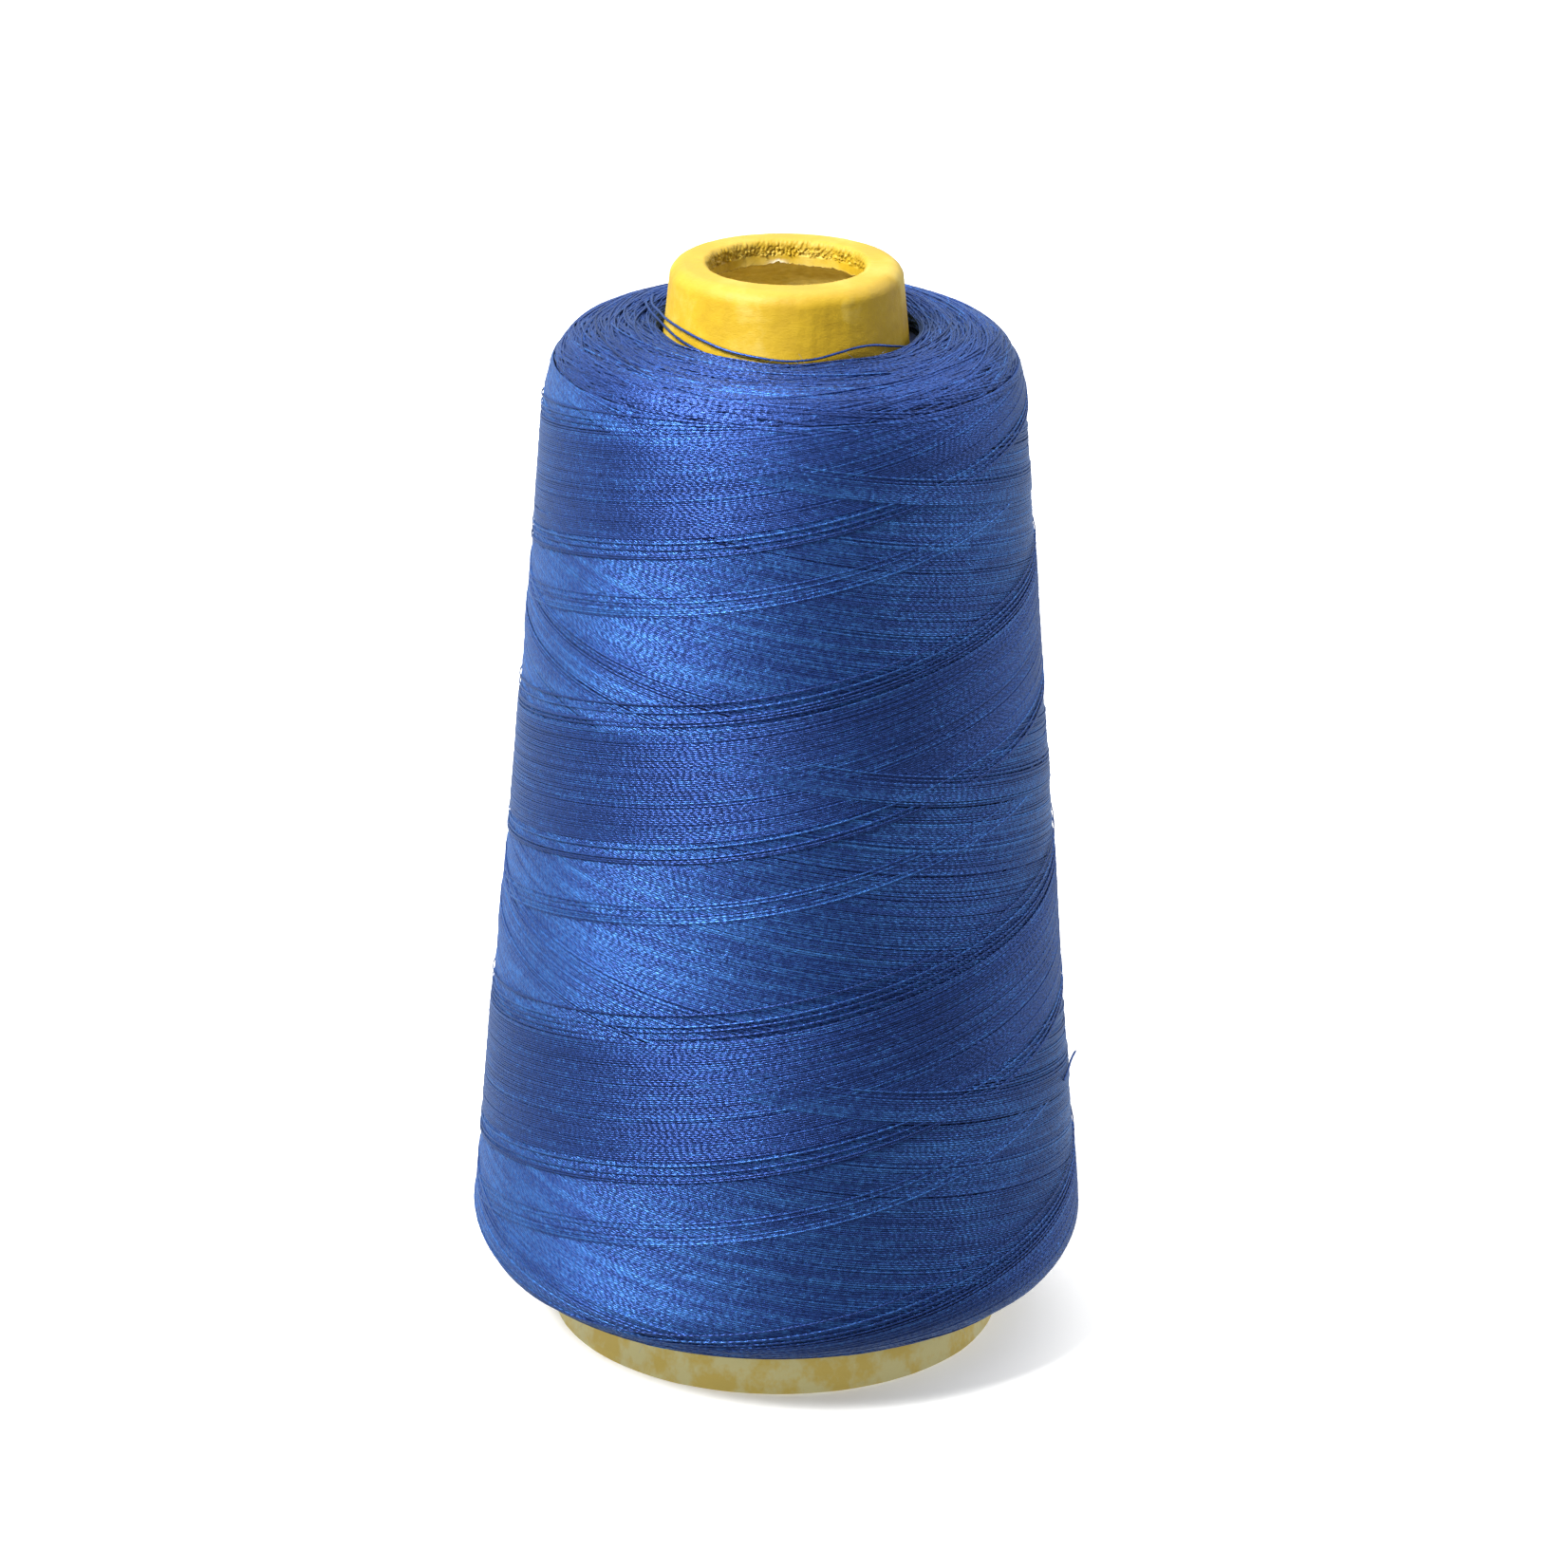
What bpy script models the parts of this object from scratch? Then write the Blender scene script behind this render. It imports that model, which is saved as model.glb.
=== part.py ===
"""A cone of sewing thread: a wound paper cone with one thread cross-wound on it. Metres, +Z up, base ring at z = 0."""

import math

import bmesh
import bpy
from mathutils import Vector

# Driving dimensions.
CONE_LENGTH = 0.170
CONE_HALF_ANGLE = math.radians(5.95)
CONE_BASE_RADIUS = 0.0349
CONE_WALL = 0.0030
COVER_THICKNESS = 0.0004
GAP = 0.0003
NOSE_OUTER_ROUNDING = 0.0024
NOSE_MOUTH_RADIUS = 0.0116
NOSE_LIP_DEPTH = 0.0038

PACKAGE_BOTTOM = 0.008
PACKAGE_SHOULDER_BOTTOM = 0.018
PACKAGE_SHOULDER_TOP = 0.146
PACKAGE_BOTTOM_RADIUS = 0.0472
PACKAGE_TOP_RADIUS = 0.0361
PACKAGE_CREST_RADIUS = 0.0206
PACKAGE_CREST = 0.161
CREVICE_FLOOR = 0.1568
CREVICE_WIDTH = 0.00105

THREAD_DIAMETER = 0.0004
THREAD_SIDES = 6
RING_STEPS = 64


def taper_radius(z):
    """The cone's outside radius at height z."""
    return CONE_BASE_RADIUS - z * math.tan(CONE_HALF_ANGLE)


def principled(name, colour, roughness):
    """A Principled BSDF material of one colour."""
    material = bpy.data.materials.new(name)
    material.use_nodes = True
    shader = material.node_tree.nodes["Principled BSDF"]
    shader.inputs["Base Color"].default_value = (*colour, 1.0)
    shader.inputs["Roughness"].default_value = roughness
    shader.inputs["Metallic"].default_value = 0.0
    return material


def add_object(name, mesh_builder, material, smooth_angle=50.0):
    """Turns a bmesh into a named object, with round faces shaded smooth and real corners kept sharp."""
    bmesh.ops.recalc_face_normals(mesh_builder, faces=mesh_builder.faces)
    mesh = bpy.data.meshes.new(name)
    mesh_builder.to_mesh(mesh)
    mesh_builder.free()
    mesh.materials.append(material)
    mesh.shade_smooth()
    mesh.set_sharp_from_angle(angle=math.radians(smooth_angle))
    node = bpy.data.objects.new(name, mesh)
    bpy.context.scene.collection.objects.link(node)
    return node


def arc(centre, radii, start, end, steps):
    """Points of an elliptical arc in the (radius, height) plane; angles are in degrees."""
    points = []
    for step in range(steps + 1):
        angle = math.radians(start + (end - start) * step / steps)
        points.append((centre[0] + radii[0] * math.cos(angle), centre[1] + radii[1] * math.sin(angle)))
    return points


def revolve(profile):
    """A closed ring: the closed outline, as (radius, height) points, turned round the Z axis."""
    builder = bmesh.new()
    rings = []
    for step in range(RING_STEPS):
        angle = 2 * math.pi * step / RING_STEPS
        across = Vector((math.cos(angle), math.sin(angle), 0.0))
        rings.append([builder.verts.new(across * radius + Vector((0, 0, height))) for radius, height in profile])
    for step, ring in enumerate(rings):
        following = rings[(step + 1) % RING_STEPS]
        for index in range(len(profile)):
            after = (index + 1) % len(profile)
            builder.faces.new((ring[index], following[index], following[after], ring[after]))
    return builder


def board_profile():
    """The board wall, running up to a curled bead at the nose."""
    skin = COVER_THICKNESS + GAP
    bead_top = CONE_LENGTH - skin
    bead_inner = NOSE_MOUTH_RADIUS + skin
    rounding = NOSE_OUTER_ROUNDING - skin
    corner_height = bead_top - rounding
    corner_radius = taper_radius(corner_height) - skin
    bead_foot = CONE_LENGTH - NOSE_LIP_DEPTH + 0.0006
    inner_wall_top = 0.1615
    profile = [(CONE_BASE_RADIUS - CONE_WALL, 0.0), (CONE_BASE_RADIUS - skin, 0.0)]
    profile += arc((corner_radius - rounding, corner_height), (rounding, rounding), 0, 90, 6)
    profile += arc((bead_inner + 0.0006, bead_top - 0.0006), (0.0006, 0.0006), 90, 180, 3)
    profile += arc((bead_inner + 0.0008, bead_foot), (0.0008, 0.0008), 180, 250, 3)
    profile += [(taper_radius(inner_wall_top) - CONE_WALL, inner_wall_top)]
    return profile


def cover_profile():
    """The cover ply: up the outside, over the nose and down inside the mouth."""
    rounding = NOSE_OUTER_ROUNDING
    corner_height = CONE_LENGTH - rounding
    corner = (taper_radius(corner_height) - rounding, corner_height)
    turn = 0.0010
    mouth = (NOSE_MOUTH_RADIUS + turn, CONE_LENGTH - turn)
    lip_foot = CONE_LENGTH - NOSE_LIP_DEPTH
    inner_rounding = rounding - COVER_THICKNESS
    inner_turn = turn - COVER_THICKNESS
    outside = [(taper_radius(GAP), GAP)]
    outside += arc(corner, (rounding, rounding), 0, 90, 6)
    outside += arc(mouth, (turn, turn), 90, 180, 4)
    outside += [(NOSE_MOUTH_RADIUS, lip_foot)]
    inside = [(NOSE_MOUTH_RADIUS + COVER_THICKNESS, lip_foot)]
    inside += arc(mouth, (inner_turn, inner_turn), 180, 90, 4)
    inside += arc(corner, (inner_rounding, inner_rounding), 90, 0, 6)
    inside += [(taper_radius(GAP) - COVER_THICKNESS, GAP)]
    return outside + inside


def package_outline():
    """The winding's visible outline, from its bottom edge to the foot of the crevice round the collar."""
    bottom_inner = taper_radius(PACKAGE_BOTTOM) + GAP
    shoulder = (bottom_inner, PACKAGE_SHOULDER_BOTTOM)
    reach = (PACKAGE_BOTTOM_RADIUS - bottom_inner, PACKAGE_SHOULDER_BOTTOM - PACKAGE_BOTTOM)
    outline = arc(shoulder, reach, -90, 0, 8)
    # The top corner is a tight round that runs into a long slope up to the crest.
    corner_top = 0.1590
    corner_inner = 0.0302
    corner = (corner_inner, PACKAGE_SHOULDER_TOP)
    outline += arc(corner, (PACKAGE_TOP_RADIUS - corner_inner, corner_top - PACKAGE_SHOULDER_TOP), 0, 74, 7)
    outline += [(0.0280, 0.1597), (0.0243, 0.1607)]
    crevice_wall = taper_radius(PACKAGE_CREST) + CREVICE_WIDTH
    turn = (PACKAGE_CREST_RADIUS, PACKAGE_CREST - 0.0016)
    outline += arc(turn, (PACKAGE_CREST_RADIUS - crevice_wall, 0.0016), 80, 180, 5)
    outline += [(taper_radius(CREVICE_FLOOR) + CREVICE_WIDTH - 0.0002, CREVICE_FLOOR + 0.0003)]
    return outline


def package_profile():
    """The winding as a closed ring round the cone."""
    inner_top = (taper_radius(CREVICE_FLOOR) + GAP, CREVICE_FLOOR)
    return package_outline() + [inner_top]


def tube(path, diameter):
    """A closed round tube along the path, with flat ends."""
    builder = bmesh.new()
    points = [Vector(point) for point in path]
    rings = []
    side = None
    for index, point in enumerate(points):
        ahead = points[min(index + 1, len(points) - 1)] - points[max(index - 1, 0)]
        ahead.normalize()
        if side is None:
            side = ahead.orthogonal().normalized()
        side = (side - ahead * side.dot(ahead)).normalized()
        other = ahead.cross(side)
        ring = []
        for step in range(THREAD_SIDES):
            angle = 2 * math.pi * step / THREAD_SIDES
            offset = side * math.cos(angle) + other * math.sin(angle)
            ring.append(builder.verts.new(point + offset * diameter / 2))
        rings.append(ring)
    for ring, following in zip(rings, rings[1:]):
        for step in range(THREAD_SIDES):
            after = (step + 1) % THREAD_SIDES
            builder.faces.new((ring[step], ring[after], following[after], following[step]))
    builder.faces.new(rings[0])
    builder.faces.new(rings[-1])
    return builder


def smooth_path(keys, steps):
    """A Catmull-Rom curve through the keys, as many steps between each two."""
    keys = [Vector(key) for key in keys]
    padded = [keys[0] * 2 - keys[1]] + keys + [keys[-1] * 2 - keys[-2]]
    path = []
    for before, start, end, after in zip(padded, padded[1:], padded[2:], padded[3:]):
        for step in range(steps):
            t = step / steps
            path.append(
                (
                    start * 2
                    + (end - before) * t
                    + (before * 2 - start * 5 + end * 4 - after) * t**2
                    + (start * 3 - before - end * 3 + after) * t**3
                )
                / 2
            )
    return path + [keys[-1]]


def round_the_neck(stations):
    """Points of a strand from (angle in degrees, distance from the cone's surface, height) stations."""
    points = []
    for angle, standoff, height in stations:
        radius = taper_radius(height) + standoff
        points.append((radius * math.cos(math.radians(angle)), radius * math.sin(math.radians(angle)), height))
    return points


# The strands' stations: angles run from +X round by +Y, so the front is at 270 degrees.
TOUCHING = GAP + THREAD_DIAMETER / 2
LONG_STRAND = [
    (152, 0.0047, 0.1616),
    (159, 0.0036, 0.1616),
    (166, 0.0026, 0.1617),
    (172, 0.0018, 0.1619),
    (179, 0.0010, 0.1621),
    (187, 0.0006, 0.1623),
    (196, TOUCHING, 0.1625),
    (206, TOUCHING, 0.1626),
    (217, TOUCHING, 0.1624),
    (229, TOUCHING, 0.1619),
    (242, TOUCHING, 0.1612),
    (256, TOUCHING, 0.1607),
    (270, TOUCHING, 0.1603),
    (283, TOUCHING, 0.1605),
    (294, TOUCHING, 0.1611),
    (304, TOUCHING, 0.1615),
    (314, TOUCHING, 0.1613),
    (325, TOUCHING, 0.1604),
    (336, TOUCHING, 0.1594),
    (348, TOUCHING, 0.1583),
    (360, TOUCHING, 0.1576),
]
SHORT_STRAND = [
    (159, 0.0045, 0.1616),
    (166, 0.0035, 0.1616),
    (172, 0.0026, 0.1616),
    (179, 0.0017, 0.1615),
    (187, 0.0009, 0.1614),
    (196, TOUCHING, 0.1613),
    (206, TOUCHING, 0.1611),
    (217, TOUCHING, 0.1607),
    (228, TOUCHING, 0.1602),
    (239, TOUCHING, 0.1597),
    (250, TOUCHING, 0.1592),
]


def thread_end_path():
    """The cut end: it leaves the winding's side and stands a little off it."""
    height = 0.0430
    slope = (PACKAGE_BOTTOM_RADIUS - PACKAGE_TOP_RADIUS) / (PACKAGE_SHOULDER_TOP - PACKAGE_SHOULDER_BOTTOM)
    surface = PACKAGE_BOTTOM_RADIUS - slope * (height - PACKAGE_SHOULDER_BOTTOM)
    stations = [(-14, 0.00055), (-11, 0.00055), (-8, 0.00058), (-5, 0.0007), (-2.5, 0.0010), (-0.5, 0.0014)]
    path = []
    for angle, standoff in stations:
        radius = surface + standoff
        across = math.radians(angle)
        path.append((radius * math.cos(across), radius * math.sin(across), height + 0.0002 * angle / 14))
    return path


def main():
    for leftover in list(bpy.data.objects):
        bpy.data.objects.remove(leftover, do_unlink=True)

    board = principled("paperboard", (0.62, 0.50, 0.17), 0.85)
    cover = principled("yellow_paper", (0.80, 0.56, 0.05), 0.55)
    package = principled("wound_thread", (0.03, 0.12, 0.42), 0.60)
    strand = principled("loose_thread", (0.04, 0.13, 0.40), 0.60)
    cut_end = principled("thread_end", (0.05, 0.15, 0.44), 0.60)

    add_object("cone_board", revolve(board_profile()), board)
    add_object("cone_cover_ply", revolve(cover_profile()), cover)
    add_object("thread_package", revolve(package_profile()), package)
    add_object("neck_strand_long", tube(smooth_path(round_the_neck(LONG_STRAND), 3), THREAD_DIAMETER), strand)
    add_object("neck_strand_short", tube(smooth_path(round_the_neck(SHORT_STRAND), 3), THREAD_DIAMETER), strand)
    add_object("thread_end", tube(smooth_path(thread_end_path(), 2), THREAD_DIAMETER), cut_end)


main()
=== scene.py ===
"""A yellow paper cone cross-wound with royal-blue sewing thread, standing on a pale studio floor."""

import math

import bpy
import numpy as np
from mathutils import Matrix, Vector


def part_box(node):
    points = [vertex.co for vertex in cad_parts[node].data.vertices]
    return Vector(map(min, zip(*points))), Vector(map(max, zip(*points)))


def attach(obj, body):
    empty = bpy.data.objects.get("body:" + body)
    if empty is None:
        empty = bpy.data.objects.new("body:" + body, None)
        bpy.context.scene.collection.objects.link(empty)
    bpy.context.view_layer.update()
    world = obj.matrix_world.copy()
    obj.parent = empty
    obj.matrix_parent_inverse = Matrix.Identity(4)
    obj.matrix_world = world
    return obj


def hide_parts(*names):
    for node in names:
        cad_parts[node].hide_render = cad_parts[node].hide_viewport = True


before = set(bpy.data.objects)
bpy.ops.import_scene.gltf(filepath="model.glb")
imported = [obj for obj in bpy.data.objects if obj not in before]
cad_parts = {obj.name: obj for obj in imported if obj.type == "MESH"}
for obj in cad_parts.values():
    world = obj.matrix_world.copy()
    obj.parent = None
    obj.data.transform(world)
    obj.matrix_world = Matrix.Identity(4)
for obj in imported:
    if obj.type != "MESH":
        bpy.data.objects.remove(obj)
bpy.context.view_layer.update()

TURN = 2 * math.pi
MM = 0.001

# ---------------------------------------------------------------- sizes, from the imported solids

COVER_LOW, COVER_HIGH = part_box("cone_cover_ply")
BOARD_LOW, BOARD_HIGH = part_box("cone_board")
PACKAGE_LOW, PACKAGE_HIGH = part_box("thread_package")

CONE_LENGTH = COVER_HIGH[2]
CONE_HALF_ANGLE = math.radians(5.95)
CONE_BASE_RADIUS = 34.9 * MM
CONE_WALL = 3.0 * MM
COVER_THICKNESS = 0.4 * MM
LAYER_GAP = 0.3 * MM
NOSE_ROUNDING = 2.4 * MM
MOUTH_RADIUS = 11.6 * MM
MOUTH_TURN = 0.9 * MM
MOUTH_FLARE = 0.15 * MM
LIP_DEPTH = 3.8 * MM

PACKAGE_BOTTOM = PACKAGE_LOW[2]
PACKAGE_CREST = 161 * MM
SHOULDER_BOTTOM = PACKAGE_BOTTOM + 10 * MM
SHOULDER_TOP = 146 * MM
BOTTOM_RADIUS = PACKAGE_HIGH[0]
TOP_RADIUS = 36.1 * MM
CREST_RADIUS = 20.6 * MM
CREVICE_FLOOR = 156.8 * MM
CREVICE_WIDTH = 1.05 * MM

STRAND_DIAMETER = 0.4 * MM
WOUND_RADIUS = 0.165 * MM
TWIST_LAY = 1.1 * MM


def taper_radius(z):
    """The cone's outside radius at height z."""
    return CONE_BASE_RADIUS - z * math.tan(CONE_HALF_ANGLE)


# ---------------------------------------------------------------- camera

CAMERA_DISTANCE = 827.2 * MM
CAMERA_HEIGHT = 408.0 * MM
CAMERA_ASIDE = 0.5 * MM
CAMERA_PITCH = math.radians(21.21)
CAMERA_ROLL = math.radians(0.68)
SENSOR_WIDTH = 36.0
LENS = 132.87


def make_camera():
    data = bpy.data.cameras.new("camera")
    data.sensor_width = SENSOR_WIDTH
    data.lens = LENS
    data.clip_start = 0.05
    camera = bpy.data.objects.new("camera", data)
    bpy.context.scene.collection.objects.link(camera)
    place = Matrix.Translation((CAMERA_ASIDE, -CAMERA_DISTANCE, CAMERA_HEIGHT))
    tilt = Matrix.Rotation(math.pi / 2 - CAMERA_PITCH, 4, "X")
    camera.matrix_world = place @ tilt @ Matrix.Rotation(CAMERA_ROLL, 4, "Z")
    bpy.context.scene.camera = camera


# ---------------------------------------------------------------- node helpers


def new_material(name):
    material = bpy.data.materials.new(name)
    material.use_nodes = True
    return material, material.node_tree, material.node_tree.nodes["Principled BSDF"]


def node(tree, kind, **values):
    """A shader node; the values set its properties, or its inputs where a name starts with in_."""
    made = tree.nodes.new(kind)
    for key, value in values.items():
        if key.startswith("in_"):
            made.inputs[key[3:].replace("_", " ")].default_value = value
        else:
            setattr(made, key, value)
    return made


def link(tree, source, target):
    tree.links.new(source, target)


def ramp(tree, factor, stops):
    """A colour ramp fed by factor; stops are (position, colour) pairs."""
    made = tree.nodes.new("ShaderNodeValToRGB")
    elements = made.color_ramp.elements
    while len(elements) < len(stops):
        elements.new(0.5)
    for element, (position, colour) in zip(elements, stops):
        element.position = position
        element.color = (*colour, 1.0)
    link(tree, factor, made.inputs["Fac"])
    return made.outputs["Color"]


def maths(tree, operation, first, second, clamp=False):
    """A Math node on two inputs, each a socket or a number."""
    made = node(tree, "ShaderNodeMath", operation=operation, use_clamp=clamp)
    for index, value in enumerate((first, second)):
        if isinstance(value, (int, float)):
            made.inputs[index].default_value = value
        else:
            link(tree, value, made.inputs[index])
    return made.outputs["Value"]


def scaled(tree, value, factor, offset):
    """value * factor + offset."""
    made = node(tree, "ShaderNodeMath", operation="MULTIPLY_ADD")
    link(tree, value, made.inputs[0])
    made.inputs[1].default_value = factor
    made.inputs[2].default_value = offset
    return made.outputs["Value"]


def mix(tree, factor, first, second, blend="MIX"):
    """A colour mix; each of its inputs is a socket, a number or a colour."""
    made = node(tree, "ShaderNodeMix", data_type="RGBA", blend_type=blend)
    for socket, value in ((0, factor), (6, first), (7, second)):
        if isinstance(value, bpy.types.NodeSocket):
            link(tree, value, made.inputs[socket])
        elif socket:
            made.inputs[socket].default_value = (*value, 1.0)
        else:
            made.inputs[socket].default_value = value
    return made.outputs[2]


def noise(tree, vector, scale, detail=3.0, roughness=0.55):
    made = node(tree, "ShaderNodeTexNoise", in_Scale=scale, in_Detail=detail, in_Roughness=roughness)
    link(tree, vector, made.inputs["Vector"])
    return made.outputs["Fac"]


def stretched(tree, scale):
    """Object coordinates, stretched by scale."""
    place = tree.nodes.new("ShaderNodeTexCoord")
    mapping = node(tree, "ShaderNodeMapping", in_Scale=scale)
    link(tree, place.outputs["Object"], mapping.inputs["Vector"])
    return mapping.outputs["Vector"]


def bump(tree, height, distance, strength, before=None):
    made = node(tree, "ShaderNodeBump", in_Distance=distance, in_Strength=strength)
    link(tree, height, made.inputs["Height"])
    if before is not None:
        link(tree, before, made.inputs["Normal"])
    return made.outputs["Normal"]


# ---------------------------------------------------------------- materials

THREAD_DARK = (0.013, 0.024, 0.100)
THREAD_MID = (0.024, 0.064, 0.270)
THREAD_LIGHT = (0.080, 0.300, 0.800)
PLIES = 3.0


def thread_material(name):
    """Spun polyester: the tone attribute shades each strand, and the twist follows the strand's own map."""
    material, tree, shader = new_material(name)
    tone = node(tree, "ShaderNodeAttribute", attribute_name="tone").outputs["Fac"]
    mottle = noise(tree, stretched(tree, (1, 1, 1)), 1500.0, 4.0, 0.65)
    patches = noise(tree, stretched(tree, (1, 1, 5)), 90.0, 4.0, 0.65)
    shade = maths(tree, "ADD", tone, scaled(tree, mottle, 0.90, -0.45))
    shade = maths(tree, "ADD", shade, scaled(tree, patches, 0.40, -0.20))
    colour = ramp(tree, shade, [(0.0, THREAD_DARK), (0.5, THREAD_MID), (1.0, THREAD_LIGHT)])

    along = node(tree, "ShaderNodeUVMap", uv_map="strand").outputs["UV"]
    split = node(tree, "ShaderNodeSeparateXYZ")
    link(tree, along, split.inputs["Vector"])
    wound = maths(tree, "ADD", maths(tree, "MULTIPLY", split.outputs["X"], PLIES), split.outputs["Y"])
    ply = maths(tree, "PINGPONG", wound, 0.5)
    ply = maths(tree, "MULTIPLY", ply, 2.0)
    # Painted shade: the colour darkens with the twist towards THREAD_DARK, as shade in the grooves between
    # the plies.
    colour = mix(tree, maths(tree, "MULTIPLY", ply, 0.35), colour, THREAD_DARK)
    link(tree, colour, shader.inputs["Base Color"])
    rough = scaled(tree, mottle, 0.30, 0.23)
    shader.inputs["Metallic"].default_value = 0.7
    link(tree, rough, shader.inputs["Roughness"])
    grain = bump(tree, noise(tree, stretched(tree, (1, 1, 1)), 2400.0, 3.0), 0.10 * MM, 1.0)
    link(tree, bump(tree, ply, 0.042 * MM, 1.0, grain), shader.inputs["Normal"])
    shader.inputs["Sheen Weight"].default_value = 0.08
    shader.inputs["Sheen Roughness"].default_value = 0.40
    shader.inputs["Sheen Tint"].default_value = (0.42, 0.68, 1.0, 1.0)
    shader.inputs["IOR"].default_value = 1.46
    shader.inputs["Specular Tint"].default_value = (0.74, 0.88, 1.0, 1.0)
    return material


def core_material():
    """The winding seen between its outer strands: the same thread in shade, drawn as fine lines."""
    material, tree, shader = new_material("thread_core")
    lines = noise(tree, stretched(tree, (1, 1, 26)), 110.0, 3.0)
    mottle = noise(tree, stretched(tree, (1, 1, 1)), 700.0, 3.0)
    shade = maths(tree, "MULTIPLY", maths(tree, "ADD", lines, mottle), 0.5)
    colour = ramp(tree, shade, [(0.30, THREAD_DARK), (0.60, THREAD_MID), (0.85, THREAD_LIGHT)])
    link(tree, colour, shader.inputs["Base Color"])
    link(tree, scaled(tree, mottle, 0.2, 0.5), shader.inputs["Roughness"])
    link(tree, bump(tree, lines, 0.2 * MM, 0.8), shader.inputs["Normal"])
    shader.inputs["Sheen Weight"].default_value = 0.05
    return material


PAPER_YELLOW = (0.425, 0.275, 0.009)
PAPER_DEEP = (0.320, 0.195, 0.007)
PAPER_PALE = (0.540, 0.410, 0.095)
PAPER_RUBBED = (0.860, 0.800, 0.400)
# The next two are painted light for the base band and painted shade for the rim's top.
PAPER_BASE_PAINTED_LIGHT = (0.880, 0.660, 0.150)
PAPER_RIM_PAINTED_SHADE = (0.310, 0.215, 0.030)
PAPER_RAW = (0.86, 0.83, 0.74)


def paper_material():
    """Dyed, lightly calendered paper: fibres, soft clouding, paler wear, painted light at the base, painted
    shade on the rim's top, and a raw torn edge.
    """
    material, tree, shader = new_material("yellow_paper")
    where = node(tree, "ShaderNodeTexCoord").outputs["Object"]
    height = node(tree, "ShaderNodeSeparateXYZ")
    link(tree, where, height.inputs["Vector"])
    clouds = noise(tree, stretched(tree, (1, 1, 1)), 95.0, 5.0, 0.6)
    fibres = noise(tree, stretched(tree, (1, 1, 6)), 1500.0, 4.0)
    streaks = noise(tree, stretched(tree, (1, 1, 0.9)), 130.0, 5.0, 0.62)
    grime = noise(tree, stretched(tree, (1, 1, 1)), 30.0, 3.0)

    colour = ramp(tree, clouds, [(0.30, PAPER_DEEP), (0.50, PAPER_YELLOW), (0.68, PAPER_PALE)])
    colour = mix(tree, maths(tree, "MULTIPLY", fibres, 0.25), colour, PAPER_YELLOW)
    # Painted shade: the top of the rim is painted darker, against the light that falls on it most.
    rim = node(tree, "ShaderNodeMapRange", in_From_Min=0.1680, in_From_Max=0.1702, clamp=True)
    link(tree, height.outputs["Z"], rim.inputs["Value"])
    colour = mix(tree, maths(tree, "MULTIPLY", rim.outputs["Result"], 0.60), colour, PAPER_RIM_PAINTED_SHADE)
    # Near the base the paper is painted paler, as painted bounce light under the winding's shadow, and rubbed
    # paler still in upright patches of wear.
    near_base = node(tree, "ShaderNodeMapRange", in_From_Min=0.016, in_From_Max=0.006, clamp=True)
    link(tree, height.outputs["Z"], near_base.inputs["Value"])
    rubbed = ramp(tree, streaks, [(0.44, (0.10, 0.10, 0.10)), (0.55, (1, 1, 1))])
    wear = maths(tree, "MULTIPLY", near_base.outputs["Result"], rubbed)
    colour = mix(tree, maths(tree, "MULTIPLY", near_base.outputs["Result"], 0.8), colour, PAPER_BASE_PAINTED_LIGHT)
    colour = mix(tree, maths(tree, "MULTIPLY", wear, 0.85), colour, PAPER_RUBBED)
    colour = mix(tree, maths(tree, "MULTIPLY", grime, 0.12), colour, PAPER_DEEP)
    # The raw attribute marks torn edges and the chip, where the undyed inside of the paper shows.
    raw = node(tree, "ShaderNodeAttribute", attribute_name="raw").outputs["Fac"]
    colour = mix(tree, raw, colour, PAPER_RAW)
    link(tree, colour, shader.inputs["Base Color"])
    link(tree, scaled(tree, clouds, 0.35, 0.38), shader.inputs["Roughness"])
    grain = bump(tree, fibres, 0.08 * MM, 0.5)
    wrinkles = noise(tree, stretched(tree, (1, 1, 1.6)), 210.0, 5.0, 0.6)
    grain = bump(tree, wrinkles, 0.5 * MM, 0.30, grain)
    link(tree, bump(tree, clouds, 0.6 * MM, 0.45, grain), shader.inputs["Normal"])
    shader.inputs["Specular IOR Level"].default_value = 0.38
    shader.inputs["IOR"].default_value = 1.45
    return material


def board_material():
    """Wound paperboard: fibrous and softly clouded, its plies showing as fine rings on the cut base."""
    material, tree, shader = new_material("paperboard")
    where = node(tree, "ShaderNodeTexCoord").outputs["Object"]
    axes = node(tree, "ShaderNodeSeparateXYZ")
    link(tree, where, axes.inputs["Vector"])
    across = maths(tree, "POWER", axes.outputs["X"], 2.0)
    along = maths(tree, "POWER", axes.outputs["Y"], 2.0)
    radius = maths(tree, "SQRT", maths(tree, "ADD", across, along), 0.0)
    plies = maths(tree, "PINGPONG", maths(tree, "MULTIPLY", radius, 2600.0), 0.5)
    fibres = noise(tree, stretched(tree, (1, 1, 4)), 700.0, 5.0)
    clouds = noise(tree, stretched(tree, (1, 1, 1)), 60.0, 4.0)
    shade = maths(tree, "MULTIPLY", maths(tree, "ADD", fibres, clouds), 0.5)
    dark, mid, pale = (0.62, 0.47, 0.11), (0.80, 0.65, 0.20), (0.86, 0.76, 0.36)
    colour = ramp(tree, shade, [(0.35, dark), (0.52, mid), (0.70, pale)])
    foot = node(tree, "ShaderNodeMapRange", in_From_Min=0.0006, in_From_Max=0.0, clamp=True)
    link(tree, axes.outputs["Z"], foot.inputs["Value"])
    colour = mix(tree, maths(tree, "MULTIPLY", foot.outputs["Result"], plies), colour, dark)
    link(tree, colour, shader.inputs["Base Color"])
    link(tree, scaled(tree, fibres, 0.2, 0.62), shader.inputs["Roughness"])
    link(tree, bump(tree, fibres, 0.15 * MM, 0.5), shader.inputs["Normal"])
    return material


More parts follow.
